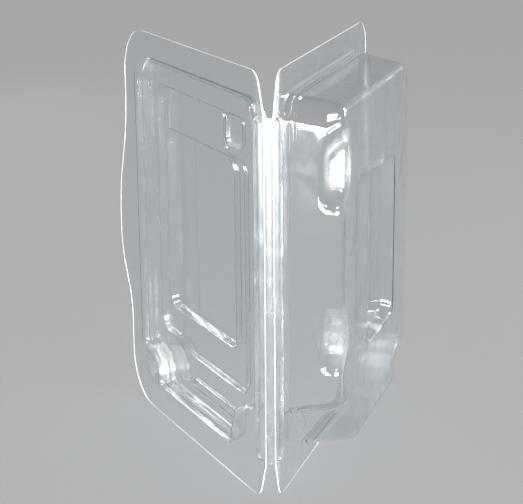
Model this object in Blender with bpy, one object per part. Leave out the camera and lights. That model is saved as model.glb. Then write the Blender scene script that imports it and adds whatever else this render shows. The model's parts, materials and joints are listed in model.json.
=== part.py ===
"""Clear plastic clamshell pack, thermoformed from one sheet and folded along a narrow hinge strip.

The pack stands on its end and is opened like a book. Z runs up the hinge strip, and the
two halves open away from it towards +Y. The half on the +X side is a deep tray, and the
half on the -X side is a lid with a stepped plug that drops into the tray when the pack is
shut. The origin is the middle of the box that the open pack fills, at its foot.

Each half is drawn in its own frame: Y runs from the crease to the free edge, Z up the
crease, and X into the form (the tray's hollow, or the lid's plug).
"""
import math

import bmesh
import bpy
from mathutils import Vector

# Whole pack, in metres
PACK_HEIGHT = 0.190
HALF_WIDTH = 0.150
SHEET_THICKNESS = 0.0005
OPEN_HALF_ANGLE = math.radians(22.4)

# Hinge strip between the two creases
HINGE_STRIP_WIDTH = 0.0036
HINGE_STRIP_RISE = 0.0004
CREASE_GAP = 0.0001

# Flange outline: the ends of each crease are cut back in a swept corner
HINGE_CORNER_HEIGHT = 0.0185
HINGE_CORNER_REACH = 0.0062
HINGE_CORNER_ROUND = 0.006
HINGE_CORNER_START = 0.002
TRAY_FREE_CORNER_REACH = 0.012
LID_FREE_CORNER_REACH = 0.023

# Finger tab on the lid's free edge
TAB_REACH = 0.0115
TAB_LENGTH = 0.061
TAB_BELOW_MIDDLE = 0.0025
TAB_LOWER_RAMP = 0.024
TAB_UPPER_RAMP = 0.037
TAB_LOWER_REACH = 0.008
TAB_UPPER_REACH = 0.013

# Stiffening bead beside each crease
BEAD_WIDTH = 0.0060
BEAD_HEIGHT = 0.0022
BEAD_TO_CREASE = 0.0012

# Tray mouth, as the flange left around it
TRAY_HINGE_MARGIN = 0.0110
TRAY_FREE_MARGIN = 0.0120
TRAY_END_MARGIN = 0.0125
MOUTH_TOP_REACH = 0.012
MOUTH_FILLET = 0.0015

# Scoops cut into the two lower corners of both mouths
HINGE_SCOOP_SIZE = 0.0245
HINGE_SCOOP_REACH = 0.020
FREE_SCOOP_WIDTH = 0.019
FREE_SCOOP_HEIGHT = 0.016
FREE_SCOOP_REACH = 0.0125
SCOOP_TIP_REACH = 0.0033

# Tray walls and floor
TRAY_DEPTH = 0.0255
TRAY_DRAFT = math.radians(9.0)
TRAY_FLOOR_FILLET = 0.0035

# Snap groove round both mouths
SNAP_START = 0.0030
SNAP_SLOPE = 0.0008
SNAP_LAND = 0.0016
SNAP_DEPTH = 0.0006

# Two grip pockets pressed into the tray wall beside the hinge, from its floor upwards
POCKET_LENGTH = 0.020
POCKET_RAMP = 0.007
POCKET_INSET = 0.0075
POCKET_RISE = 0.0100
POCKET_ROOF_SLOPE = 0.0030
POCKET_CORNER_REACH = 0.0026
LOWER_POCKET_TO_BOTTOM = 0.073
UPPER_POCKET_TO_TOP = 0.044
UPPER_POCKET_ARCH = 0.017

# Island raised in the tray's floor
ISLAND_LENGTH = 0.080
ISLAND_WIDTH = 0.050
ISLAND_HEIGHT = 0.0060
ISLAND_CORNER_REACH = 0.006
ISLAND_DRAFT = math.radians(14.0)
ISLAND_TO_FREE_EDGE = 0.042

# Lid plug: an outer wall down to a ledge
PLUG_CLEARANCE = 0.0012
PLUG_LOWER_WALL = 0.0008
PLUG_DRAFT = math.radians(9.0)
PLUG_FILLET = 0.0020

# Lid well: a first step down inside the ledge, with a jog in its hinge side and a step at its foot
WELL_DEPTH = 0.0030
WELL_HINGE_LAND = 0.0215
WELL_FREE_LAND = 0.0004
WELL_TOP_LAND = 0.0089
WELL_BOTTOM_LAND = 0.0169
WELL_JOG = 0.0204
WELL_JOG_RAMP = 0.003
WELL_FOOT_STEP_WIDTH = 0.0195
WELL_FOOT_STEP_RISE = 0.0045
WELL_FOOT_STEP_RAMP = 0.008
WELL_CORNER_REACH = 0.006
WELL_JOG_REACH = 0.0028

# Lid panel: a second step down inside the well
PANEL_DEPTH = 0.0040
PANEL_HINGE_LAND = 0.0139
PANEL_FREE_LAND = 0.0016
PANEL_BOTTOM_LAND = 0.0142
PANEL_BELOW_JOG = 0.0025
PANEL_CORNER_REACH = 0.005
PANEL_JOG_CORNER_REACH = 0.010

# Key block and rib on the lid's ledge
KEY_WIDTH = 0.0170
KEY_LENGTH = 0.0145
KEY_DEPTH = 0.0020
KEY_TO_WELL = 0.0025
KEY_TO_JOG = 0.0045
KEY_CORNER_REACH = 0.0035
RIB_WIDTH = 0.0055
RIB_HEIGHT = 0.0016
RIB_BELOW_WELL = 0.0090
RIB_START = 0.0074
RIB_TO_FOOT_STEP = 0.0200578

# Walls and rounds of every small step
STEP_DRAFT = math.radians(18.0)
STEP_FILLET = 0.0010
SMALL_DRAFT = math.radians(25.0)
SMALL_FILLET = 0.0006

# The bead's half-round section, as shares of a quarter turn
BEAD_TURN_SHARES = (0.0, 0.33, 0.61, 0.83)

# Rows of the wall down a grip pocket's sloping roof and below it, as shares of its slope
POCKET_ROW_SHARES = (0.0, 0.5, 1.0, 1.6)

# Smoothness of round corners and edges
CORNER_STEP = 0.0022
LEAST_CORNER_STEPS = 3
MOST_CORNER_STEPS = 8
FULL_ROUND_SHARE = 0.94
FILLET_STEPS = 3
SHARP_EDGE = math.radians(35.0)

# Clear sheet
CLEAR_SHEET_COLOUR = (0.86, 0.89, 0.90, 1.0)
CLEAR_SHEET_ROUGHNESS = 0.06
CLEAR_SHEET_IOR = 1.57

# Worked out from the sizes above
CREASE_CLEARANCE = SHEET_THICKNESS / 2 + CREASE_GAP
SNAP_END = SNAP_START + 2 * SNAP_SLOPE + SNAP_LAND
PLUG_LEDGE_DEPTH = SNAP_END + PLUG_LOWER_WALL + PLUG_FILLET
POCKET_ROOF = TRAY_DEPTH - POCKET_RISE


def moved_in(corners, inset):
    """Places of an outline's corners, with every side moved in by the inset."""
    places = [Vector((across, height)) for across, height, _ in corners]
    moved = []
    for index, place in enumerate(places):
        into = (place - places[index - 1]).normalized()
        out = (places[(index + 1) % len(places)] - place).normalized()
        inwards = Vector((-into.y - out.y, into.x + out.x))
        moved.append(place + inwards * inset / (1.0 + into.dot(out)))
    return moved


def round_reach(places, corners, index):
    """How far from a corner its round may start, where a short side is shared with a neighbour."""
    own = corners[index][2]
    reach = own
    for other in (index - 1, (index + 1) % len(corners)):
        side = (places[other] - places[index]).length
        reach = min(reach, FULL_ROUND_SHARE * side * own / (own + corners[other][2]))
    return reach


def ring(corners, depth, inset=0.0):
    """Points at one depth along an outline that is moved in and rounded at its corners.

    Each corner is its place across and up, and how far from it the round starts.
    """
    places = moved_in(corners, inset)
    points = []
    for index, place in enumerate(places):
        reach = round_reach(places, corners, index)
        into = (place - places[index - 1]).normalized()
        out = (places[(index + 1) % len(places)] - place).normalized()
        start = place - into * reach
        end = place + out * reach
        pull = 2.0 * math.cos(into.angle(out, 0.0) / 2.0)
        steps = min(max(round(corners[index][2] / CORNER_STEP), LEAST_CORNER_STEPS), MOST_CORNER_STEPS)
        for step in range(steps + 1):
            share = step / steps
            rest = 1.0 - share
            weights = (rest * rest, pull * share * rest, share * share)
            point = (start * weights[0] + place * weights[1] + end * weights[2]) / sum(weights)
            points.append((depth, point.x, point.y))
    return points


def box(hinge, free, bottom, top, reach):
    """Corners of a rounded rectangle, round from its lower hinge corner."""
    return [(hinge, bottom, reach), (free, bottom, reach), (free, top, reach), (hinge, top, reach)]


def flange_outline(free_reach, tab=()):
    """Corners of the cut outline of one half."""
    sweep = (
        (0.0, HINGE_CORNER_HEIGHT, HINGE_CORNER_START),
        (HINGE_CORNER_REACH / 2, HINGE_CORNER_HEIGHT / 2, HINGE_CORNER_ROUND),
        (HINGE_CORNER_REACH, 0.0, HINGE_CORNER_ROUND),
    )
    foot = [(CREASE_CLEARANCE + across, height, reach) for across, height, reach in sweep]
    head = [(across, PACK_HEIGHT - height, reach) for across, height, reach in reversed(foot)]
    return foot + [(HALF_WIDTH, 0.0, free_reach), *tab, (HALF_WIDTH, PACK_HEIGHT, free_reach)] + head


def tab_corners():
    """Corners that carry the lid's free edge out to its finger tab and back."""
    middle = PACK_HEIGHT / 2 - TAB_BELOW_MIDDLE
    lower = middle - TAB_LENGTH / 2
    upper = middle + TAB_LENGTH / 2
    return [
        (HALF_WIDTH, lower - TAB_LOWER_RAMP / 2, TAB_LOWER_REACH),
        (HALF_WIDTH + TAB_REACH, lower + TAB_LOWER_RAMP / 2, TAB_LOWER_REACH),
        (HALF_WIDTH + TAB_REACH, upper - TAB_UPPER_RAMP / 2, TAB_UPPER_REACH),
        (HALF_WIDTH, upper + TAB_UPPER_RAMP / 2, TAB_UPPER_REACH),
    ]


def mouth_outline(hinge_side=()):
    """Corners of both mouths, with two scooped lower corners and any corners in the hinge side."""
    hinge = TRAY_HINGE_MARGIN
    free = HALF_WIDTH - TRAY_FREE_MARGIN
    bottom = TRAY_END_MARGIN
    top = PACK_HEIGHT - TRAY_END_MARGIN
    near = hinge + HINGE_SCOOP_SIZE
    near_up = bottom + HINGE_SCOOP_SIZE
    far = free - FREE_SCOOP_WIDTH
    far_up = bottom + FREE_SCOOP_HEIGHT
    return [
        (near, bottom, SCOOP_TIP_REACH),
        (far, bottom, SCOOP_TIP_REACH),
        (far, far_up, FREE_SCOOP_REACH),
        (free, far_up, SCOOP_TIP_REACH),
        (free, top, MOUTH_TOP_REACH),
        (hinge, top, MOUTH_TOP_REACH),
        *hinge_side,
        (hinge, near_up, SCOOP_TIP_REACH),
        (near, near_up, HINGE_SCOOP_REACH),
    ]


def pocket_corners(bottom, top, pressed):
    """Corners of one grip pocket in the hinge side, from the top down, pressed in so far."""
    outer = TRAY_HINGE_MARGIN
    inner = outer + pressed
    return [
        (outer, top, POCKET_CORNER_REACH),
        (inner, top - POCKET_RAMP, POCKET_CORNER_REACH),
        (inner, bottom + POCKET_RAMP, POCKET_CORNER_REACH),
        (outer, bottom, POCKET_CORNER_REACH),
    ]


def hinge_pockets(depth):
    """Corners of both grip pockets at one depth: the upper one has an arched top."""
    sunk = max(depth - POCKET_ROOF, 0.0)
    pressed = POCKET_INSET * min(sunk / POCKET_ROOF_SLOPE, 1.0)
    half = (POCKET_LENGTH + POCKET_RAMP) / 2
    upper = PACK_HEIGHT - UPPER_POCKET_TO_TOP
    lower = LOWER_POCKET_TO_BOTTOM
    arch = POCKET_RAMP + (UPPER_POCKET_ARCH - POCKET_RAMP) * math.sin(math.pi / 2 * sunk / POCKET_RISE)
    corners = pocket_corners(upper - half, upper + arch, pressed)
    return corners + pocket_corners(lower - half, lower + half, pressed)


def fillet(depth, inset, radius, inner):
    """Depths and insets of a quarter round: into a wall from a flat, or from a wall to a flat."""
    rows = []
    for step in range(FILLET_STEPS + 1):
        angle = math.radians(90.0 * step / FILLET_STEPS)
        if inner:
            rows.append((depth + radius * (math.sin(angle) - 1.0), inset + radius * (1.0 - math.cos(angle))))
        else:
            rows.append((depth + radius * (1.0 - math.cos(angle)), inset + radius * (math.sin(angle) - 1.0)))
    return rows


def new_ring(bm, points):
    """A closed loop of edges through the points."""
    verts = [bm.verts.new(point) for point in points]
    edges = [bm.edges.new((vert, verts[index - 1])) for index, vert in enumerate(verts)]
    return verts, edges


def extrude_ring(bm, verts, edges, points):
    """Extrude a loop of edges and move the new loop onto the next ring's points."""
    made = bmesh.ops.extrude_edge_only(bm, edges=edges)["geom"]
    fresh = {item for item in made if isinstance(item, bmesh.types.BMVert)}
    new_edges = [item for item in made if isinstance(item, bmesh.types.BMEdge)]
    new_edges = [edge for edge in new_edges if edge.verts[0] in fresh and edge.verts[1] in fresh]
    new_verts = []
    for vert, point in zip(verts, points):
        partner = next(edge.other_vert(vert) for edge in vert.link_edges if edge.other_vert(vert) in fresh)
        partner.co = point
        new_verts.append(partner)
    return new_verts, new_edges


def wall(bm, rows):
    """A wall through a row of rings. Returns the edges of its first and its last ring."""
    verts, first_edges = new_ring(bm, rows[0])
    edges = first_edges
    for points in rows[1:]:
        verts, edges = extrude_ring(bm, verts, edges, points)
    return first_edges, edges


def fill(bm, *loops):
    """A flat face inside the first loop, with the other loops left open."""
    edges = [edge for loop in loops for edge in loop]
    bmesh.ops.triangle_fill(bm, use_beauty=True, use_dissolve=False, edges=edges)


def bead_rows(side):
    """Rings of the half-round bead beside the crease, raised to the side given."""
    half = BEAD_WIDTH / 2
    hinge = CREASE_CLEARANCE + BEAD_TO_CREASE
    top = PACK_HEIGHT - HINGE_CORNER_HEIGHT
    outline = box(hinge, hinge + BEAD_WIDTH, HINGE_CORNER_HEIGHT, top, half)
    rows = []
    for share in BEAD_TURN_SHARES:
        angle = math.pi / 2 * share
        rows.append(ring(outline, side * BEAD_HEIGHT * math.sin(angle), half * (1.0 - math.cos(angle))))
    return rows


def wall_inset(depth, draft):
    """How far a drafted wall has come in at a depth below the mouth."""
    return (depth - MOUTH_FILLET) * math.tan(draft)


def step_inset(size, draft, radius):
    """How far the wall and the lower round of a step come in from its rim."""
    return (size - 2 * radius) * math.tan(draft) + radius


def snap_rows(draft):
    """Depths and insets of the snap groove in a drafted wall."""
    groove_start = SNAP_START + SNAP_SLOPE
    groove_end = groove_start + SNAP_LAND
    return [
        (SNAP_START, wall_inset(SNAP_START, draft)),
        (groove_start, wall_inset(groove_start, draft) - SNAP_DEPTH),
        (groove_end, wall_inset(groove_end, draft) - SNAP_DEPTH),
        (SNAP_END, wall_inset(SNAP_END, draft)),
    ]


def tray_wall_rows():
    """Rings from the tray's mouth down to its floor, with the grip pockets in the hinge side."""
    profile = fillet(0.0, 0.0, MOUTH_FILLET, inner=False)
    profile += snap_rows(TRAY_DRAFT)
    for share in POCKET_ROW_SHARES:
        depth = POCKET_ROOF + POCKET_ROOF_SLOPE * share
        profile.append((depth, wall_inset(depth, TRAY_DRAFT)))
    foot_inset = wall_inset(TRAY_DEPTH - TRAY_FLOOR_FILLET, TRAY_DRAFT)
    profile += fillet(TRAY_DEPTH, foot_inset, TRAY_FLOOR_FILLET, inner=True)
    return [ring(mouth_outline(hinge_pockets(depth)), depth, inset) for depth, inset in profile]


def plug_wall_rows():
    """Rings from the lid's mouth down to the ledge round its well."""
    profile = fillet(0.0, 0.0, MOUTH_FILLET, inner=False)
    profile += snap_rows(PLUG_DRAFT)
    foot_inset = wall_inset(PLUG_LEDGE_DEPTH - PLUG_FILLET, PLUG_DRAFT)
    profile += fillet(PLUG_LEDGE_DEPTH, foot_inset, PLUG_FILLET, inner=True)
    return [ring(mouth_outline(), depth, PLUG_CLEARANCE + inset) for depth, inset in profile]


def step_rows(outline, start, change, draft, radius):
    """Rings of one step with a drafted wall and rounded edges, from its rim to its flat."""
    size = abs(change)
    way = change / size
    profile = fillet(0.0, 0.0, radius, inner=False)
    profile += fillet(size, step_inset(size, draft, radius) - radius, radius, inner=True)
    return [ring(outline, start + way * rise, inset) for rise, inset in profile]


def island_outline():
    """Corners of the island in the tray's floor, half way up the pack."""
    free = HALF_WIDTH - ISLAND_TO_FREE_EDGE
    bottom = (PACK_HEIGHT - ISLAND_LENGTH) / 2
    return box(free - ISLAND_WIDTH, free, bottom, bottom + ISLAND_LENGTH, ISLAND_CORNER_REACH)


class Well:
    """Places of the lid's well, set in from the ledge that the plug's wall leaves."""

    ledge = PLUG_CLEARANCE + (PLUG_LEDGE_DEPTH - PLUG_FILLET - MOUTH_FILLET) * math.tan(PLUG_DRAFT)
    ledge += PLUG_FILLET + STEP_FILLET
    hinge = TRAY_HINGE_MARGIN + ledge + WELL_HINGE_LAND
    free = HALF_WIDTH - TRAY_FREE_MARGIN - ledge - WELL_FREE_LAND
    bottom = TRAY_END_MARGIN + ledge + WELL_BOTTOM_LAND
    top = PACK_HEIGHT - TRAY_END_MARGIN - ledge - WELL_TOP_LAND
    jog = top - KEY_LENGTH - KEY_TO_JOG
    narrow_hinge = hinge + WELL_JOG
    foot_step = free - WELL_FOOT_STEP_WIDTH


def well_outline():
    """Corners of the well, narrower above the jog in its hinge side."""
    half_ramp = WELL_JOG_RAMP / 2
    raised_foot = Well.bottom + WELL_FOOT_STEP_RISE
    return [
        (Well.hinge, Well.bottom, WELL_CORNER_REACH),
        (Well.foot_step - WELL_FOOT_STEP_RAMP, Well.bottom, WELL_JOG_REACH),
        (Well.foot_step, raised_foot, WELL_JOG_REACH),
        (Well.free, raised_foot, WELL_CORNER_REACH),
        (Well.free, Well.top, WELL_CORNER_REACH),
        (Well.narrow_hinge, Well.top, WELL_CORNER_REACH),
        (Well.narrow_hinge, Well.jog + half_ramp, WELL_JOG_REACH),
        (Well.hinge, Well.jog - half_ramp, WELL_CORNER_REACH),
    ]


def panel_outline():
    """Corners of the flat panel at the bottom of the well, rounder in the corner by the jog."""
    rim = step_inset(WELL_DEPTH, STEP_DRAFT, STEP_FILLET) + STEP_FILLET
    hinge = Well.hinge + rim + PANEL_HINGE_LAND
    free = Well.free - rim - PANEL_FREE_LAND
    bottom = Well.bottom + rim + PANEL_BOTTOM_LAND
    plain = box(hinge, free, bottom, Well.jog - PANEL_BELOW_JOG, PANEL_CORNER_REACH)
    across, height, _ = plain[-1]
    return plain[:-1] + [(across, height, PANEL_JOG_CORNER_REACH)]


def key_outline():
    """Corners of the key block, in the corner that the well's jog leaves free."""
    free = Well.narrow_hinge - KEY_TO_WELL
    return box(free - KEY_WIDTH, free, Well.top - KEY_LENGTH, Well.top, KEY_CORNER_REACH)


def rib_outline():
    """Corners of the rib along the lid's lower ledge."""
    hinge = Well.hinge + RIB_START
    free = Well.foot_step - RIB_TO_FOOT_STEP
    top = Well.bottom - RIB_BELOW_WELL
    return box(hinge, free, top - RIB_WIDTH, top, RIB_WIDTH / 2)


def thicken(mesh_object):
    """Give the sheet its thickness, half to each side of the drawn surface."""
    sheet = mesh_object.modifiers.new("sheet", "SOLIDIFY")
    sheet.thickness = SHEET_THICKNESS
    sheet.offset = 0.0
    sheet.use_even_offset = True


def make_object(bm, name, material, crease_x, turn):
    """Finish a sheet: shade it smooth, thicken it and set it at its crease."""
    bmesh.ops.recalc_face_normals(bm, faces=bm.faces)
    mesh = bpy.data.meshes.new(name)
    bm.to_mesh(mesh)
    bm.free()
    mesh.materials.append(material)
    mesh.shade_smooth()
    mesh.set_sharp_from_angle(angle=SHARP_EDGE)
    piece = bpy.data.objects.new(name, mesh)
    bpy.context.collection.objects.link(piece)
    thicken(piece)
    piece.location = (crease_x, 0.0, 0.0)
    piece.rotation_euler = (0.0, 0.0, turn)
    return piece


def clear_plastic(name):
    """Clear PET sheet, seen in its own light grey."""
    material = bpy.data.materials.new(name)
    material.use_nodes = True
    shader = material.node_tree.nodes["Principled BSDF"]
    shader.inputs["Base Color"].default_value = CLEAR_SHEET_COLOUR
    shader.inputs["Roughness"].default_value = CLEAR_SHEET_ROUGHNESS
    shader.inputs["Metallic"].default_value = 0.0
    shader.inputs["IOR"].default_value = CLEAR_SHEET_IOR
    return material


def make_tray():
    """Deep half: flange, snap groove, scooped corners, grip pockets and an island in the floor."""
    bm = bmesh.new()
    outline = new_ring(bm, ring(flange_outline(TRAY_FREE_CORNER_REACH), 0.0))[1]
    mouth, floor_edge = wall(bm, tray_wall_rows())
    bead_foot, bead_crown = wall(bm, bead_rows(1.0))
    island = step_rows(island_outline(), TRAY_DEPTH, -ISLAND_HEIGHT, ISLAND_DRAFT, STEP_FILLET)
    island_foot, island_top = wall(bm, island)
    fill(bm, outline, mouth, bead_foot)
    fill(bm, bead_crown)
    fill(bm, floor_edge, island_foot)
    fill(bm, island_top)
    return make_object(bm, "tray", clear_plastic("tray_sheet"), HINGE_STRIP_WIDTH / 2, -OPEN_HALF_ANGLE)


def make_lid():
    """Shallow half: flange with a finger tab, and a plug with a stepped well."""
    bm = bmesh.new()
    well_floor_depth = PLUG_LEDGE_DEPTH + WELL_DEPTH
    outline = new_ring(bm, ring(flange_outline(LID_FREE_CORNER_REACH, tab_corners()), 0.0))[1]
    mouth, ledge_edge = wall(bm, plug_wall_rows())
    well = step_rows(well_outline(), PLUG_LEDGE_DEPTH, WELL_DEPTH, STEP_DRAFT, STEP_FILLET)
    well_rim, well_floor = wall(bm, well)
    panel = step_rows(panel_outline(), well_floor_depth, PANEL_DEPTH, STEP_DRAFT, STEP_FILLET)
    panel_rim, panel_floor = wall(bm, panel)
    key = step_rows(key_outline(), PLUG_LEDGE_DEPTH, KEY_DEPTH, SMALL_DRAFT, SMALL_FILLET)
    key_rim, key_floor = wall(bm, key)
    rib = step_rows(rib_outline(), PLUG_LEDGE_DEPTH, -RIB_HEIGHT, SMALL_DRAFT, SMALL_FILLET)
    rib_foot, rib_top = wall(bm, rib)
    bead_foot, bead_crown = wall(bm, bead_rows(-1.0))
    fill(bm, outline, mouth, bead_foot)
    fill(bm, bead_crown)
    fill(bm, ledge_edge, well_rim, key_rim, rib_foot)
    fill(bm, key_floor)
    fill(bm, rib_top)
    fill(bm, well_floor, panel_rim)
    fill(bm, panel_floor)
    return make_object(bm, "lid", clear_plastic("lid_sheet"), -HINGE_STRIP_WIDTH / 2, OPEN_HALF_ANGLE)


def make_hinge_strip():
    """Narrow strip between the creases, bowed slightly outwards."""
    bm = bmesh.new()
    half = HINGE_STRIP_WIDTH / 2 - CREASE_CLEARANCE
    low = HINGE_CORNER_HEIGHT
    high = PACK_HEIGHT - HINGE_CORNER_HEIGHT
    steps = 2 * FILLET_STEPS
    verts = []
    for step in range(steps + 1):
        place = -1.0 + 2.0 * step / steps
        verts.append(bm.verts.new((half * place, -HINGE_STRIP_RISE * (1.0 - place * place), low)))
    edges = [bm.edges.new(pair) for pair in zip(verts, verts[1:])]
    made = bmesh.ops.extrude_edge_only(bm, edges=edges)["geom"]
    raised = [item for item in made if isinstance(item, bmesh.types.BMVert)]
    bmesh.ops.translate(bm, verts=raised, vec=(0.0, 0.0, high - low))
    return make_object(bm, "hinge_strip", clear_plastic("hinge_sheet"), 0.0, 0.0)


def stand_over_origin(pieces):
    """Move the pieces together, so that the origin is the middle of their box at its foot."""
    bpy.context.view_layer.update()
    graph = bpy.context.evaluated_depsgraph_get()
    points = []
    for piece in pieces:
        points += [piece.matrix_world @ vert.co for vert in piece.evaluated_get(graph).data.vertices]
    low = [min(point[axis] for point in points) for axis in range(3)]
    high = [max(point[axis] for point in points) for axis in range(3)]
    for piece in pieces:
        piece.location.x -= (low[0] + high[0]) / 2
        piece.location.y -= (low[1] + high[1]) / 2
        piece.location.z -= low[2]


def main():
    for old in list(bpy.data.objects):
        bpy.data.objects.remove(old, do_unlink=True)
    stand_over_origin([make_tray(), make_lid(), make_hinge_strip()])


main()
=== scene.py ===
# %% [markdown]
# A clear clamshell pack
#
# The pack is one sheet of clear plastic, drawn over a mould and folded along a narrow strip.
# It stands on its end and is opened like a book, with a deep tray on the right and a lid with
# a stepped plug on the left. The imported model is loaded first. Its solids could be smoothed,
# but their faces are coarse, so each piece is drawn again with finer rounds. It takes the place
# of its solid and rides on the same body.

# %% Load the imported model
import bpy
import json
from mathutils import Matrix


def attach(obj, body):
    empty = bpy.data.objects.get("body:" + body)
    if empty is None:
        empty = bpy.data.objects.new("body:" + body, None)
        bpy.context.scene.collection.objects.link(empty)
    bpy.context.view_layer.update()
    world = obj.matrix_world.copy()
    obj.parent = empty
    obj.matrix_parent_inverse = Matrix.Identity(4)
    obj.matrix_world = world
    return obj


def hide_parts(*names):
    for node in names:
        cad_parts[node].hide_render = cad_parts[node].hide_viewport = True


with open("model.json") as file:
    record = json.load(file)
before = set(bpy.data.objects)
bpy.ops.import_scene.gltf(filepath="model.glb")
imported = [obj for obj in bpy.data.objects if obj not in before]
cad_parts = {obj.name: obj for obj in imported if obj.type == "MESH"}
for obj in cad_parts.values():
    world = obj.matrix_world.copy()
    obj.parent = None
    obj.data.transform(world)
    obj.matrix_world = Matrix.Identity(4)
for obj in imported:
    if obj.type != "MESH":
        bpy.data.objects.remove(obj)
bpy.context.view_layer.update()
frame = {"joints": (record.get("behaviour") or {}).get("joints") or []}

# %% [markdown]
# The sizes below are in millimetres, as a mould maker would write them. A half of the pack is
# drawn in its own flat frame: x goes down into the form, y runs from the crease to the free
# edge, and z runs up the crease. Drawn where it stands, every point of it would have to be
# turned. Drawn flat, it needs one matrix at the end. The two creases come from the packed
# model's joints.

# %% Units and the places of the creases
import json
import math

import bmesh
import bpy
from mathutils import Matrix, Vector

MM = 0.001
PACK_HEIGHT = 190.0
HALF_WIDTH = 150.0
SHEET = 0.5
OPEN_HALF_ANGLE = math.radians(22.4)
creases = {joint["name"]: Vector(joint["pos_m"]) for joint in frame["joints"]}
print("creases at", {name: [round(value, 5) for value in place] for name, place in creases.items()})

# %% [markdown]
# Outlines with rounded corners
#
# A mould maker draws an outline as straight sides and then rounds its corners. The same is done
# here. An outline is a list of corners, and each corner has a reach, which is how far from it
# the round starts along both sides. Moving an outline in keeps its sides parallel, as a drafted
# wall does. The rounds could be worked out with sines, but bevelling the vertices of a flat face
# makes them with one operator. Two rounds that would meet on a short side share it, a little
# short of the whole, so that no two points coincide.

# %% Move an outline in and round its corners
ROUND_STEP = 0.55
FEWEST_STEPS = 3
MOST_STEPS = 22
SIDE_SHARE = 0.999


def moved_in(corners, inset):
    """The corners of an outline, with every side moved in by the inset."""
    places = [Vector(corner[:2]) for corner in corners]
    moved = []
    for index, place in enumerate(places):
        into = (place - places[index - 1]).normalized()
        out = (places[(index + 1) % len(places)] - place).normalized()
        sideways = Vector((-into.y - out.y, into.x + out.x))
        moved.append(place + sideways * (inset / (1.0 + into.dot(out))))
    return moved


def rounded(corners, inset=0.0):
    """Points along an outline that is moved in and then rounded at each corner by its reach."""
    places = moved_in(corners, inset)
    flat = bmesh.new()
    verts = [flat.verts.new((place.x, place.y, 0.0)) for place in places]
    flat.faces.new(verts)
    for index, vert in enumerate(verts):
        reach = corners[index][2]
        steps = min(max(int(reach / ROUND_STEP), FEWEST_STEPS), MOST_STEPS)
        for other in (index - 1, (index + 1) % len(corners)):
            side = (places[other] - places[index]).length
            share = corners[index][2] / (corners[index][2] + corners[other][2])
            reach = min(reach, SIDE_SHARE * side * share)
        bmesh.ops.bevel(flat, geom=[vert], affect="VERTICES", offset=reach, segments=steps,
                        profile=0.5, material=-1)
    flat.faces.ensure_lookup_table()
    points = [loop.vert.co.xy for loop in flat.faces[0].loops]
    flat.free()
    return points


print("points on a rounded square:", len(rounded([(0, 0, 5), (40, 0, 5), (40, 40, 5), (0, 40, 5)])))

# %% [markdown]
# Sections of a wall
#
# A wall is described by its section: pairs of how far in and how deep it has come, with a
# radius where it bends. The first ring of edges is laid down, and it is then extruded once for
# each point of the section. The rings could also be laid one by one and bridged, but
# bridge_loops can twist two rings that lie in one plane, and extruding keeps them in step.

# %% Round a section, lay a ring and extrude it
SECTION_STEPS = 6


def bend(section):
    """Points of a section, with each inner corner rounded by its radius."""
    points = [Vector(section[0][:2])]
    for before, corner, after in zip(section, section[1:], section[2:]):
        here = Vector(corner[:2])
        into = (here - Vector(before[:2])).normalized()
        out = (Vector(after[:2]) - here).normalized()
        turn = into.angle(out)
        reach = corner[2] * math.tan(turn / 2)
        if not reach:
            points.append(here)
            continue
        start, end = here - into * reach, here + out * reach
        middle = here + (out - into).normalized() * corner[2] / math.cos(turn / 2)
        first = start - middle
        steps = max(2, round(SECTION_STEPS * turn / (math.pi / 2)))
        way = math.copysign(1.0, into.x * out.y - into.y * out.x)
        for step in range(steps + 1):
            points.append(middle + Matrix.Rotation(way * turn * step / steps, 2) @ first)
        points[-1] = end
    return points + [Vector(section[-1][:2])]


def lay_ring(bm, points, depth):
    """A closed loop of edges at one depth."""
    verts = [bm.verts.new((depth, point.x, point.y)) for point in points]
    return verts, [bm.edges.new((vert, verts[index - 1])) for index, vert in enumerate(verts)]


def extrude_ring(bm, verts, edges, points, depth):
    """Extrude a loop of edges and move the new loop to the next ring's place."""
    made = bmesh.ops.extrude_edge_only(bm, edges=edges)["geom"]
    fresh = {item for item in made if isinstance(item, bmesh.types.BMVert)}
    edges = [item for item in made if isinstance(item, bmesh.types.BMEdge)]
    edges = [edge for edge in edges if fresh.issuperset(edge.verts)]
    partners = []
    for vert, point in zip(verts, points):
        beside = [edge.other_vert(vert) for edge in vert.link_edges]
        partner = next(other for other in beside if other in fresh)
        partner.co = (depth, point.x, point.y)
        partners.append(partner)
    return partners, edges


def press(bm, outline, section):
    """Press an outline into the sheet along a section. Returns its first and last loop."""
    first = None
    for inset, depth in bend(section):
        points = rounded(outline(depth) if callable(outline) else outline, inset)
        if first is None:
            verts, edges = lay_ring(bm, points, depth)
            first = edges
        else:
            verts, edges = extrude_ring(bm, verts, edges, points, depth)
    return first, edges


def fill(bm, *loops):
    """A flat of sheet inside the first loop, and outside the others."""
    edges = [edge for loop in loops for edge in loop]
    bmesh.ops.triangle_fill(bm, use_beauty=True, use_dissolve=False, edges=edges)


print("points of a square bend:", len(bend([(0.0, 0.0), (2.0, 0.0, 1.0), (2.0, 2.0)])))

# %% [markdown]
# The flanges
#
# The flange is the flat rim on which the two halves close. Its ends sweep back from the crease,
# and its free corners are round, more so on the lid. The lid's free edge also runs out into a
# long low finger tab. Booleans could cut all this from a plain sheet, but as the corners of one
# outline it is easy to read and to change.

# %% Outlines of the two flanges
CREASE_CLEARANCE = 0.35
SWEEP = ((0.0, 18.5, 2.0), (3.1, 9.2, 6.0), (6.2, 0.0, 6.0))
TAB = ((150.0, 50.0, 8.0), (161.5, 74.0, 9.0), (161.5, 105.0, 12.0), (150.0, 142.0, 14.0))


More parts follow.
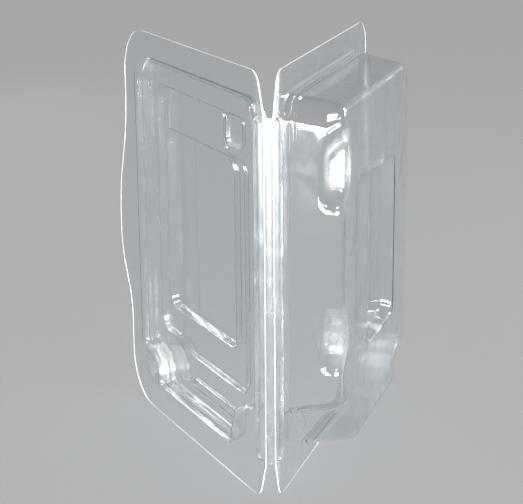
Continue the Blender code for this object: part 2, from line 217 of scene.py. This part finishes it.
def flange(free_corner, tab=()):
    """Corners of a flange's outline, round from the foot of the crease."""
    low = [(CREASE_CLEARANCE + across, height, reach) for across, height, reach in SWEEP]
    high = [(across, PACK_HEIGHT - height, reach) for across, height, reach in reversed(low)]
    free = [(HALF_WIDTH, 0.0, free_corner), *tab, (HALF_WIDTH, PACK_HEIGHT, free_corner)]
    return low + free + high


tray_flange = flange(12.0)
lid_flange = flange(23.0, TAB)
print("corners round the flanges:", len(tray_flange), "and", len(lid_flange))

# %% [markdown]
# The mouth
#
# The mouth is a rounded rectangle whose two lower corners are scooped out, which stiffens them.
# The tray and the lid's plug share this outline, so that one nests in the other. A scoop is
# three corners: two small tips, and a wide round between them that bends the other way. It
# could be cut away afterwards with a cylinder, but as part of the outline it gets the same round
# edge, groove and draft as the rest of the wall.

# %% Outline shared by the tray's mouth and the lid's plug
MOUTH_HINGE, MOUTH_FREE, MOUTH_BOTTOM, MOUTH_TOP = 11.0, 138.0, 12.5, 177.5
HINGE_SCOOP = (24.5, 24.5)
FREE_SCOOP = (19.0, 16.0)
HINGE_ROUND, FREE_ROUND, TOP_ROUND = 20.0, 12.8, 12.0
TIP, SMALL_TIP = 4.0, 3.0


def mouth(hinge_side=()):
    """Corners of the mouth, with any extra corners of its hinge side, from the top down."""
    near_across, near_up = MOUTH_HINGE + HINGE_SCOOP[0], MOUTH_BOTTOM + HINGE_SCOOP[1]
    far_across, far_up = MOUTH_FREE - FREE_SCOOP[0], MOUTH_BOTTOM + FREE_SCOOP[1]
    return [
        (near_across, MOUTH_BOTTOM, TIP), (far_across, MOUTH_BOTTOM, SMALL_TIP),
        (far_across, far_up, FREE_ROUND), (MOUTH_FREE, far_up, TIP),
        (MOUTH_FREE, MOUTH_TOP, TOP_ROUND), (MOUTH_HINGE, MOUTH_TOP, TOP_ROUND),
        *hinge_side, (MOUTH_HINGE, near_up, TIP), (near_across, near_up, HINGE_ROUND),
    ]


print("corners round the mouth:", len(mouth()))

# %% [markdown]
# The tray
#
# The tray's wall starts with a round edge, then a shallow groove that the lid snaps into, then
# a drafted wall, and a round foot. Two grip pockets are pressed into the wall beside the hinge.
# They start part of the way down, and the upper one has an arched top. They could be pushed into
# a finished wall, but only a dense mesh takes such a dent. Instead, the outline changes with
# depth, and it has as many corners at every depth, so that it can still be extruded.

# %% The tray's outline, with its pockets
TRAY_DEPTH = 25.5
POCKET_ROOF = (15.2, 18.8)
POCKET_INSET = 7.5
UPPER_POCKET, LOWER_POCKET = 146.0, 73.0
POCKET_HALF, POCKET_RAMP, POCKET_ARCH = 13.5, 7.0, 17.0
POCKET_ROUND = 2.6


def smooth(share):
    """A share from 0 to 1 that starts and ends gently."""
    share = min(max(share, 0.0), 1.0)
    return share * share * (3.0 - 2.0 * share)


def tray_outline(depth):
    """The mouth's outline, with the pockets as far in as they are at this depth."""
    roof, below = POCKET_ROOF
    inner = MOUTH_HINGE + POCKET_INSET * smooth((depth - roof) / (below - roof))
    sunk = max(0.0, (depth - roof) / (TRAY_DEPTH - roof))
    arch = POCKET_RAMP + (POCKET_ARCH - POCKET_RAMP) * math.sin(math.pi / 2 * sunk)
    side = []
    for middle, top_half in ((UPPER_POCKET, arch), (LOWER_POCKET, POCKET_HALF)):
        top, bottom = middle + top_half, middle - POCKET_HALF
        side += [(MOUTH_HINGE, top, POCKET_ROUND), (inner, top - POCKET_RAMP, POCKET_ROUND)]
        side += [(inner, bottom + POCKET_RAMP, POCKET_ROUND), (MOUTH_HINGE, bottom, POCKET_ROUND)]
    return mouth(side)


print("corners round the tray's floor:", len(tray_outline(TRAY_DEPTH)))

# %% [markdown]
# The mould's walls lean by nine degrees so that the sheet comes off it. The snap groove is four
# points of the section that step out of that lean and back. Two rings would do for a plain
# wall. The rows between the roof of the pockets and their full depth are close together,
# because the outline changes fast there.

# %% The tray's section
DRAFT = math.tan(math.radians(9.0))
MOUTH_ROUND, MOUTH_LAND, MOUTH_SET_BACK = 1.5, 0.4, 0.24
GROOVE = ((3.0, 0.0), (3.8, 0.6), (5.4, 0.6), (6.2, 0.0))
GROOVE_ROUND = 0.45
FOOT_ROUND = 3.5
SUPPORT = 0.35
ROOF_ROWS = 6


def leaned(depth):
    """How far in a drafted wall has come at a depth."""
    return (depth - MOUTH_ROUND) * DRAFT


def snap():
    """Section of the round mouth edge and the snap groove, at the top of a drafted wall."""
    top = [(-MOUTH_ROUND - SUPPORT - MOUTH_LAND, 0.0), (-MOUTH_SET_BACK, 0.0, MOUTH_ROUND)]
    return top + [(leaned(depth) - out, depth, GROOVE_ROUND) for depth, out in GROOVE]


def tray_section():
    """Section of the tray's wall, from the flange to the floor at its foot."""
    roof, below = POCKET_ROOF
    rows = [roof + (below - roof) * row / ROOF_ROWS for row in range(ROOF_ROWS + 1)]
    foot = leaned(TRAY_DEPTH)
    floor = [(foot, TRAY_DEPTH, FOOT_ROUND), (foot + FOOT_ROUND + SUPPORT, TRAY_DEPTH)]
    return snap() + [(leaned(row), row, 0.0) for row in rows] + floor


print("rows of the tray's wall:", len(bend(tray_section())))

# %% [markdown]
# Small steps, such as the island in the tray's floor, all have the same kind of section: a
# round rim, a drafted wall and a round foot. Each is given as its change of depth, its draft in
# degrees and its radius. Inset and extrude could make them one by one, but one helper keeps
# their rounds and drafts alike. The bead beside each crease is a long half round, which stiffens
# the flange where it would otherwise flop.

# %% Sections of a step and of a bead
def step_section(start, change, draft, radius):
    """Section of a step that starts on one flat and ends on another."""
    across = abs(change) * math.tan(math.radians(draft))
    return [(-radius - SUPPORT, start), (0.0, start, radius), (across, start + change, radius),
            (across + radius + SUPPORT, start + change)]


def box_outline(hinge, free, bottom, top, reach):
    """Corners of a plain rounded rectangle."""
    return [(hinge, bottom, reach), (free, bottom, reach), (free, top, reach), (hinge, top, reach)]


BEAD = box_outline(1.55, 7.55, 18.5, 171.5, 3.0)
BEAD_CURVE = ((-0.3, 0.0), (0.0, 0.0, 0.5), (0.75, 1.6, 1.2), (1.9, 2.2, 1.6), (2.8, 2.25))
ISLAND = box_outline(58.0, 108.0, 55.0, 135.0, 6.0)
ISLAND_STEP = (-6.0, 14.0, 1.0)


def bead_section(side):
    """Section of the half-round bead, raised to the side given."""
    return [(across, side * depth, *rest) for across, depth, *rest in BEAD_CURVE]


print("rows of the bead:", len(bend(bead_section(1.0))))

# %% [markdown]
# Finishing a half
#
# The drawn surface is the middle of the sheet. Both faces could be drawn, but Solidify keeps
# them at an even distance round every bend. Points that fall together are merged, and the
# normals are worked out, before it does. Bevel takes the sharpness off the trimmed edge, and
# weighted normals keep the flats truly flat in reflections. The mesh is turned to the half-open
# angle and moved to its crease before it becomes a piece.

# %% Turn the drawing into a sheet that rides on a body
WELD = 0.03
TRIM_ROUND, TRIM_STEPS = 0.09, 2
SHARP = math.radians(60.0)
FLATS_WEIGHT = 80
HALVES = {
    name: Matrix.Translation(creases[name + "_crease"]) @ Matrix.Rotation(turn, 4, "Z")
    for name, turn in (("tray", -OPEN_HALF_ANGLE), ("lid", OPEN_HALF_ANGLE))
}


def finish_sheet(bm, name):
    """A piece made of thickened sheet, in the place of the CAD node of that name."""
    bmesh.ops.remove_doubles(bm, verts=bm.verts, dist=WELD)
    bmesh.ops.dissolve_degenerate(bm, edges=bm.edges, dist=WELD)
    bmesh.ops.recalc_face_normals(bm, faces=bm.faces)
    bmesh.ops.scale(bm, vec=(MM, MM, MM), verts=bm.verts)
    bmesh.ops.transform(bm, matrix=HALVES[name], verts=bm.verts)
    mesh = bpy.data.meshes.new(name + "_sheet")
    bm.to_mesh(mesh)
    bm.free()
    mesh.shade_smooth()
    piece = bpy.data.objects.new(name + "_sheet", mesh)
    bpy.context.collection.objects.link(piece)
    thickness = piece.modifiers.new("thickness", "SOLIDIFY")
    thickness.thickness = SHEET * MM
    thickness.offset = 0.0
    thickness.use_even_offset = True
    thickness.material_offset_rim = 1
    edge = piece.modifiers.new("trimmed edge", "BEVEL")
    edge.width = TRIM_ROUND * MM
    edge.segments = TRIM_STEPS
    edge.limit_method = "ANGLE"
    edge.angle_limit = SHARP
    flats = piece.modifiers.new("flats", "WEIGHTED_NORMAL")
    flats.weight = FLATS_WEIGHT
    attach(piece, name)
    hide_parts(name)
    print(name, "has", len(mesh.polygons), "faces before it is thickened")
    return piece


# %% [markdown]
# The tray is laid out flat by flat. Each press gives back its first and its last loop of edges,
# and the flats are then filled between those loops, from the flange in to the island's top.
# Holes cut in a grid would leave ragged faces round them, which a clear and glossy flat shows.

# %% Make the tray
def make_tray():
    """The deep half: flange, bead, wall with pockets, and a floor with an island."""
    bm = bmesh.new()
    rim = lay_ring(bm, rounded(tray_flange), 0.0)[1]
    mouth_edge, floor_edge = press(bm, tray_outline, tray_section())
    bead_foot, bead_top = press(bm, BEAD, bead_section(1.0))
    island_foot, island_top = press(bm, ISLAND, step_section(TRAY_DEPTH, *ISLAND_STEP))
    fill(bm, rim, mouth_edge, bead_foot)
    fill(bm, bead_top)
    fill(bm, floor_edge, island_foot)
    fill(bm, island_top)
    return finish_sheet(bm, "tray")


tray = make_tray()

# %% [markdown]
# The lid
#
# The lid's plug drops into the tray with a little clearance all round. Its wall could have a
# section of its own, but it takes the top of the tray's, moved in by the clearance, so that the
# two snap grooves face each other. Inside its ledge a well steps down, narrower above a jog in
# its hinge side, and a panel steps down again inside the well. A key block fills the corner that
# the jog leaves free, and a rib stiffens the lower ledge.

# %% Outlines on the lid's ledge
LEDGE, PLUG_ROUND = 9.0, 1.5
CLEARANCE = 1.2
WELL_STEP, PANEL_STEP = (3.0, 18.0, 1.0), (4.0, 18.0, 1.0)
KEY_STEP, RIB_STEP = (2.0, 25.0, 0.6), (-1.6, 25.0, 0.6)
WELL = [
    (37.6, 34.5, 6.0), (105.0, 34.5, 2.8), (113.0, 39.0, 2.8), (132.2, 39.0, 6.0),
    (132.2, 163.5, 6.0), (58.0, 163.5, 6.0), (58.0, 146.0, 2.8), (37.6, 143.0, 6.0),
]
PANEL = box_outline(53.8, 128.3, 51.0, 142.0, 5.0)[:3] + [(53.8, 142.0, 10.0)]
KEY = box_outline(38.5, 55.5, 149.0, 163.5, 3.5)
RIB = box_outline(45.0, 93.0, 20.0, 25.5, 2.75)


def plug_section():
    """Section of the plug's wall, which stands in from the tray's by the clearance."""
    foot = leaned(LEDGE)
    section = snap() + [(foot, LEDGE, PLUG_ROUND), (foot + PLUG_ROUND + SUPPORT, LEDGE)]
    return [(across + CLEARANCE, *rest) for across, *rest in section]


print("rows of the plug's wall:", len(bend(plug_section())))

# %% [markdown]
# The lid is made as the tray is. Its ledge is one flat with three openings, for the well, the
# key block and the rib, so their rims must stay apart from each other and from the plug's wall.

# %% Make the lid
def make_lid():
    """The shallow half: flange with a tab, bead, plug, well, panel, key block and rib."""
    bm = bmesh.new()
    rim = lay_ring(bm, rounded(lid_flange), 0.0)[1]
    mouth_edge, ledge_edge = press(bm, mouth(), plug_section())
    well_rim, well_floor = press(bm, WELL, step_section(LEDGE, *WELL_STEP))
    panel_rim, panel_floor = press(bm, PANEL, step_section(LEDGE + WELL_STEP[0], *PANEL_STEP))
    key_rim, key_floor = press(bm, KEY, step_section(LEDGE, *KEY_STEP))
    rib_foot, rib_top = press(bm, RIB, step_section(LEDGE, *RIB_STEP))
    bead_foot, bead_top = press(bm, BEAD, bead_section(-1.0))
    fill(bm, rim, mouth_edge, bead_foot)
    fill(bm, bead_top)
    fill(bm, ledge_edge, well_rim, key_rim, rib_foot)
    fill(bm, key_floor)
    fill(bm, rib_top)
    fill(bm, well_floor, panel_rim)
    fill(bm, panel_floor)
    return finish_sheet(bm, "lid")


lid = make_lid()

# %% [markdown]
# The hinge strip
#
# The sheet is creased twice to make the hinge, and a narrow strip bows out between the creases.
# Each crease is a small roll of plastic on the hinge's axis, so the strip's section is a bowed
# band with a thicker roll at both edges. Curves with a bevel could make the rolls, but not in
# one piece with the band. So the whole section is one outline, which is rounded as the others
# are and extruded up the hinge.

# %% Make the hinge strip
STRIP_HALF, CREASE_ROLL = 1.8, 0.27
STRIP_ENDS = (18.5, 171.5)
BOW_INSIDE = (
    (STRIP_HALF - CREASE_ROLL, CREASE_ROLL, 0.3), (1.0, -0.12, 0.5),
    (-1.0, -0.12, 0.5), (CREASE_ROLL - STRIP_HALF, CREASE_ROLL, 0.3),
)
BOW_OUTSIDE = ((-1.0, -0.62, 0.7), (1.0, -0.62, 0.7))


def make_hinge():
    """The narrow strip between the creases, extruded up the hinge."""
    bm = bmesh.new()
    edge = STRIP_HALF + CREASE_ROLL
    right = [(edge, -CREASE_ROLL, CREASE_ROLL), (edge, CREASE_ROLL, CREASE_ROLL)]
    left = [(-across, -depth, reach) for across, depth, reach in right]
    section = [*right, *BOW_INSIDE, *left, *BOW_OUTSIDE]
    verts = [bm.verts.new((point.x, point.y, STRIP_ENDS[0])) for point in rounded(section)]
    foot = bm.faces.new(verts)
    top = bmesh.ops.extrude_face_region(bm, geom=[foot], use_keep_orig=True)["geom"]
    raised = [item for item in top if isinstance(item, bmesh.types.BMVert)]
    bmesh.ops.translate(bm, verts=raised, vec=(0.0, 0.0, STRIP_ENDS[1] - STRIP_ENDS[0]))
    bmesh.ops.recalc_face_normals(bm, faces=bm.faces)
    bmesh.ops.scale(bm, vec=(MM, MM, MM), verts=bm.verts)
    middle = (creases["tray_crease"] + creases["lid_crease"]) / 2
    bmesh.ops.translate(bm, verts=bm.verts, vec=middle)
    mesh = bpy.data.meshes.new("hinge_sheet")
    bm.to_mesh(mesh)
    bm.free()
    mesh.shade_smooth()
    mesh.set_sharp_from_angle(angle=SHARP)
    piece = bpy.data.objects.new("hinge_sheet", mesh)
    bpy.context.collection.objects.link(piece)
    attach(piece, "hinge_strip")
    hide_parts("hinge_strip")
    print("hinge strip has", len(mesh.polygons), "faces")
    return piece


hinge = make_hinge()

# %% [markdown]
# Materials
#
# A material is a small graph of nodes around one shader. Written out in full, the graphs would
# repeat the same few lines, so helpers make what recurs: noise that is fixed to the piece by its
# Object coordinates, a Map Range that turns one span of values into another, and a Math node on
# two values. Each of these returns the socket to link from.

# %% Helpers for the nodes of a material
def new_material(name):
    """A material, with its nodes, its links and its shader."""
    material = bpy.data.materials.new(name)
    material.use_nodes = True
    tree = material.node_tree
    return material, tree.nodes, tree.links, tree.nodes["Principled BSDF"]


def noise(nodes, links, place, scale, detail):
    """Noise at a scale, with its finer detail."""
    node = nodes.new("ShaderNodeTexNoise")
    node.inputs["Scale"].default_value = scale
    node.inputs["Detail"].default_value = detail
    links.new(place, node.inputs["Vector"])
    return node.outputs["Fac"]


def spread(nodes, links, value, span, result, kind="LINEAR"):
    """A span of values turned into the span of the result."""
    node = nodes.new("ShaderNodeMapRange")
    node.interpolation_type = kind
    node.inputs["From Min"].default_value, node.inputs["From Max"].default_value = span
    node.inputs["To Min"].default_value, node.inputs["To Max"].default_value = result
    links.new(value, node.inputs["Value"])
    return node.outputs["Result"]


def reckon(nodes, links, operation, first, second):
    """A Math node on a value and on a second value or a plain number."""
    node = nodes.new("ShaderNodeMath")
    node.operation = operation
    links.new(first, node.inputs[0])
    if isinstance(second, float):
        node.inputs[1].default_value = second
    else:
        links.new(second, node.inputs[1])
    return node.outputs["Value"]


def mix_shaders(nodes, links, share, first, second):
    """Two shaders mixed by a share, as the surface of the material."""
    node = nodes.new("ShaderNodeMixShader")
    links.new(share, node.inputs["Fac"])
    links.new(first, node.inputs[1])
    links.new(second, node.inputs[2])
    links.new(node.outputs["Shader"], nodes["Material Output"].inputs["Surface"])


# %% [markdown]
# Milky places
#
# Where the mould is deep and narrow the sheet is stretched most, and there it turns a little
# milky. So does the plastic beside a crease, which is bent to and fro. Those places could be
# painted on the vertices, but a large flat has few, and the paint would smear across it. They
# are listed for each half instead, as depth, across, height, radius, a share and a strength. The
# share scales heights, so a small one makes a tall spot, and zero makes a band up the whole
# hinge. The material measures how near a point is to each spot, and the strongest result counts.

# %% Haze where the sheet is drawn furthest
HINGE_BAND = (0.5, 4.5, 0.0, 7.0, 0.0, 0.65)
DRAWN_PLACES = {
    "tray": (HINGE_BAND, (23.0, 20.5, 147.0, 12.0, 0.5, 1.0), (23.0, 20.5, 73.0, 12.0, 0.55, 1.0),
             (17.0, 127.0, 22.0, 17.0, 0.8, 1.9), (20.0, 28.0, 30.0, 11.0, 0.8, 0.7),
             (23.0, 83.0, 55.0, 7.0, 1.0, 0.6), (23.0, 83.0, 135.0, 7.0, 1.0, 0.6)),
    "lid": (HINGE_BAND, (6.0, 127.0, 22.0, 14.0, 1.0, 1.5), (6.0, 28.0, 29.0, 11.0, 1.0, 0.6),
            (10.0, 130.0, 42.0, 9.0, 1.0, 0.8), (6.0, 135.0, 172.0, 8.0, 1.0, 0.6),
            (10.0, 49.0, 152.0, 9.0, 1.0, 0.6)),
}
SPOT_CORE = 0.2


def milky_share(nodes, links, place, spots):
    """How milky the sheet is: nothing outside every spot, and most in the core of one."""
    most = None
    for centre, radius, share, strength in spots:
        scaled = nodes.new("ShaderNodeVectorMath")
        scaled.operation = "MULTIPLY"
        scaled.inputs[1].default_value = (1.0, 1.0, share)
        links.new(place, scaled.inputs[0])
        away = nodes.new("ShaderNodeVectorMath")
        away.operation = "DISTANCE"
        away.inputs[1].default_value = (centre.x, centre.y, centre.z * share)
        links.new(scaled.outputs["Vector"], away.inputs[0])
        span = (radius, SPOT_CORE * radius)
        near = spread(nodes, links, away.outputs["Value"], span, (0.0, strength), "SMOOTHSTEP")
        most = near if most is None else reckon(nodes, links, "MAXIMUM", most, near)
    return most


milky_spots = {
    name: [(HALVES[name] @ (Vector(spot[:3]) * MM), spot[3] * MM, *spot[4:]) for spot in places]
    for name, places in DRAWN_PLACES.items()
}
print("milky places:", {name: len(spots) for name, spots in milky_spots.items()})

# %% [markdown]
# Clear sheet
#
# Thermoformed sheet is clear and glossy, but never quite even: it carries faint waves from the
# mould, a light haze, and scuffs where packs rub together. Blender's Glass shader could make it
# too, but other programs can read a Principled one. That has a full transmission weight here,
# and its roughness and bump follow noise. The milky places are broken up by the noise of the
# waves and added to the roughness. A real clear sheet throws only a faint shadow, so lamps shine
# through it by way of a Light Path node.

# %% Material of the sheet
SHEET_TINT = (0.93, 0.955, 0.965, 1.0)
SHADOW_TINT = (0.90, 0.92, 0.93, 1.0)
PLASTIC_IOR = 1.57
WAVE_NOISE, SCUFF_NOISE = (95.0, 1.0), (260.0, 6.0)
SCUFF_SPAN = (0.35, 0.75)
MILKY_ROUGHNESS = 0.50
HALF_WAVES, HALF_ROUGHNESS = 0.09, (0.02, 0.10)
STRIP_WAVES, STRIP_ROUGHNESS = 0.03, (0.20, 0.30)


def clear_sheet(name, waves, roughness, spots):
    """Clear glossy plastic with faint waves, a little haze, and milky spots."""
    material, nodes, links, shader = new_material(name)
    shader.inputs["Base Color"].default_value = SHEET_TINT
    shader.inputs["Transmission Weight"].default_value = 1.0
    shader.inputs["IOR"].default_value = PLASTIC_IOR
    place = nodes.new("ShaderNodeTexCoord").outputs["Object"]
    broad = noise(nodes, links, place, *WAVE_NOISE)
    scuffs = noise(nodes, links, place, *SCUFF_NOISE)
    rough = spread(nodes, links, scuffs, SCUFF_SPAN, roughness)
    if spots:
        broken = reckon(nodes, links, "MULTIPLY", milky_share(nodes, links, place, spots), broad)
        milky = reckon(nodes, links, "MULTIPLY", broken, MILKY_ROUGHNESS)
        rough = reckon(nodes, links, "ADD", milky, rough)
    links.new(rough, shader.inputs["Roughness"])
    bump = nodes.new("ShaderNodeBump")
    bump.inputs["Strength"].default_value = 1.0
    bump.inputs["Distance"].default_value = waves
    links.new(broad, bump.inputs["Height"])
    links.new(bump.outputs["Normal"], shader.inputs["Normal"])
    through = nodes.new("ShaderNodeBsdfTransparent")
    through.inputs["Color"].default_value = SHADOW_TINT
    shadow = nodes.new("ShaderNodeLightPath").outputs["Is Shadow Ray"]
    mix_shaders(nodes, links, shadow, shader.outputs["BSDF"], through.outputs["BSDF"])
    return material


for piece, waves, roughness, spots in (
    (tray, HALF_WAVES, HALF_ROUGHNESS, milky_spots["tray"]),
    (lid, HALF_WAVES, HALF_ROUGHNESS, milky_spots["lid"]),
    (hinge, STRIP_WAVES, STRIP_ROUGHNESS, ()),
):
    piece.data.materials.append(clear_sheet(piece.name, waves * MM, roughness, spots))
print("clear sheets:", [piece.name for piece in (tray, lid, hinge)])

# %% [markdown]
# Where a steel rule has cut the sheet, its edge is rough and frosted. Light that travels inside the
# sheet comes out there and makes the edge shine, and that shine is painted into the edge's pale
# colour as a painted highlight. Its faces could be picked out by hand, but Solidify makes them and
# gives them the next material slot, and it also makes such a rim on the crease side of each half,
# where the sheet is not cut.
# That slot holds a frosted plastic whose pale colour is partly its real frost and partly a painted
# highlight.

# %% Material of the cut edge
# The edge tones are pale partly for the frost and partly as a painted highlight of the light that
# leaves the edge.
EDGE_FROST_AND_HIGHLIGHT_TONES = ((0.80, 0.82, 0.83, 1.0), (0.97, 0.98, 0.98, 1.0))
EDGE_NOISE = (900.0, 3.0)
EDGE_CLEARNESS, EDGE_ROUGHNESS = 0.25, 0.45


def cut_edge():
    """Frosted edge of the sheet, finely scratched by the cutting rule, and pale partly as a painted
    highlight.
    """
    material, nodes, links, shader = new_material("cut_edge")
    shader.inputs["Transmission Weight"].default_value = EDGE_CLEARNESS
    shader.inputs["IOR"].default_value = PLASTIC_IOR
    shader.inputs["Roughness"].default_value = EDGE_ROUGHNESS
    place = nodes.new("ShaderNodeTexCoord").outputs["Object"]
    tone = nodes.new("ShaderNodeValToRGB")
    for element, colour in zip(tone.color_ramp.elements, EDGE_FROST_AND_HIGHLIGHT_TONES):
        element.color = colour
    links.new(noise(nodes, links, place, *EDGE_NOISE), tone.inputs["Fac"])
    links.new(tone.outputs["Color"], shader.inputs["Base Color"])
    return material


edge_material = cut_edge()
for piece in (tray, lid):
    piece.data.materials.append(edge_material)
print("materials:", [material.name for material in tray.data.materials])

# %% [markdown]
# Floor, light and camera
#
# Clear plastic is seen by what it reflects and bends. The floor and the backdrop are a plain
# pale grey, a little darker than white, so that bright reflections of the lamps still stand out
# and the bends of the sheet draw themselves as darker lines. Stronger lamps could even out the
# floor, but they would wash out the plastic. So the floor lights itself towards the camera and
# the sheet, by a Light Path node, and looks nearly even from every side.

# %% Floor
BACKDROP = (0.40, 0.41, 0.42, 1.0)
FLOOR_REACH = 4.0
EVEN_SHARE = 0.93


def make_floor():
    """A wide plain floor in the backdrop's colour."""
    bm = bmesh.new()
    bmesh.ops.create_grid(bm, x_segments=2, y_segments=2, size=FLOOR_REACH)
    mesh = bpy.data.meshes.new("floor")
    bm.to_mesh(mesh)
    bm.free()
    floor = bpy.data.objects.new("floor", mesh)
    bpy.context.collection.objects.link(floor)
    material, nodes, links, shader = new_material("floor")
    shader.inputs["Base Color"].default_value = BACKDROP
    shader.inputs["Roughness"].default_value = 1.0
    even = nodes.new("ShaderNodeEmission")
    even.inputs["Color"].default_value = BACKDROP
    path = nodes.new("ShaderNodeLightPath").outputs
    seen = reckon(nodes, links, "MAXIMUM", path["Is Camera Ray"], path["Is Glossy Ray"])
    seen = reckon(nodes, links, "MAXIMUM", seen, path["Is Transmission Ray"])
    share = reckon(nodes, links, "MULTIPLY", seen, EVEN_SHARE)
    mix_shaders(nodes, links, share, shader.outputs["BSDF"], even.outputs["Emission"])
    mesh.materials.append(material)
    print("floor spans", [round(value, 1) for value in floor.dimensions])


make_floor()

# %% [markdown]
# The sky has the floor's colour at the horizon, so that no line shows between them. It darkens
# towards the top. A studio for glass does the same: its dark ceiling is what the steep walls
# mirror, and they stand out from the pale floor.

# %% Sky
HORIZON, CEILING = (0.10, 1.0), (0.70, 0.15)


def make_sky():
    """A backdrop that darkens from the horizon to the ceiling."""
    world = bpy.data.worlds.new("studio")
    bpy.context.scene.world = world
    world.use_nodes = True
    nodes, links = world.node_tree.nodes, world.node_tree.links
    sky = nodes["Background"]
    sky.inputs["Color"].default_value = BACKDROP
    way = nodes.new("ShaderNodeSeparateXYZ")
    links.new(nodes.new("ShaderNodeTexCoord").outputs["Generated"], way.inputs["Vector"])
    rises, strengths = zip(HORIZON, CEILING)
    links.new(spread(nodes, links, way.outputs["Z"], rises, strengths), sky.inputs["Strength"])


make_sky()
print("sky strength from the horizon to the ceiling:", HORIZON[1], CEILING[1])

# %% [markdown]
# One large lamp would light the pack evenly and draw nothing on it. Here three soft boxes light
# it from above. Two small ones behind it draw the lid's steps as bright lines, and one on the
# right does it for the tray. A row of upright strips in front of the pack is what the bowed
# hinge and the round mouth of the tray mirror as fine streaks.

# %% Soft boxes
LAMPS = [
    # name, place, aimed at, width, height, power
    ("key", (-0.45, -0.30, 0.80), (0.0, 0.0, 0.10), 0.40, 0.40, 6.0),
    ("rim", (0.70, 0.35, 0.55), (0.02, 0.0, 0.09), 0.20, 0.60, 4.0),
    ("fill", (0.20, -0.80, 0.75), (0.0, 0.0, 0.10), 0.60, 0.20, 4.0),
    ("back_left", (-0.42, 0.60, 0.45), (-0.03, 0.0, 0.10), 0.12, 0.06, 0.7),
    ("back", (-0.26, 0.88, 0.30), (-0.03, 0.0, 0.10), 0.16, 0.14, 2.0),
    ("right", (0.60, 0.20, 0.30), (0.04, 0.04, 0.05), 0.12, 0.25, 3.5),
]
STRIPS_ACROSS = (-0.42, -0.29, -0.16, -0.04, 0.04, 0.12, 0.25, 0.38)
STRIP_FRONT, STRIP_HEIGHT = -0.62, 0.17
STRIP_LAMP = (0.05, 0.27, 1.8)


def make_lamp(name, place, target, width, height, power):
    """A flat lamp that the camera doesn't see itself, aimed at a point."""
    data = bpy.data.lights.new(name, "AREA")
    data.shape = "RECTANGLE"
    data.size, data.size_y, data.energy = width, height, power
    lamp = bpy.data.objects.new(name, data)
    lamp.location = place
    lamp.rotation_euler = (Vector(target) - Vector(place)).to_track_quat("-Z", "Y").to_euler()
    lamp.visible_camera = False
    bpy.context.collection.objects.link(lamp)


for lamp in LAMPS:
    make_lamp(*lamp)
for index, across in enumerate(STRIPS_ACROSS):
    place, target = (across, STRIP_FRONT, STRIP_HEIGHT), (across, 0.0, STRIP_HEIGHT)
    make_lamp(f"strip_{index}", place, target, *STRIP_LAMP)
print("lamps:", len(LAMPS), "and strips:", len(STRIPS_ACROSS))

# %% [markdown]
# The camera looks down at the pack from the side where its hinge is. Its place and angles could
# be set by eye, but they were worked out from the photograph by matching the pack's corners,
# with the image taken as 523 by 504.

# %% Camera
IMAGE_WIDTH, FOCAL_PIXELS, SENSOR = 523, 1600.0, 36.0
CAMERA_PLACE = (-0.0568, -0.7116, 0.3089)
YAW, PITCH, ROLL = 0.0741, 0.2949, 0.0089
camera_data = bpy.data.cameras.new("camera")
camera_data.sensor_width = SENSOR
camera_data.lens = SENSOR * FOCAL_PIXELS / IMAGE_WIDTH
camera = bpy.data.objects.new("camera", camera_data)
around = Matrix.Rotation(-YAW, 4, "Z")
down = Matrix.Rotation(math.pi / 2 - PITCH, 4, "X")
level = Matrix.Rotation(-ROLL, 4, "Z")
camera.matrix_world = Matrix.Translation(CAMERA_PLACE) @ around @ down @ level
bpy.context.collection.objects.link(camera)
bpy.context.scene.camera = camera
bpy.context.scene.view_settings.view_transform = "Standard"
print("lens:", round(camera_data.lens, 1), "mm")

# %% [markdown]
# The pieces must fill the same box as the imported solids. The last line brings the scene up
# to date.

# %% The end
bpy.context.view_layer.update()
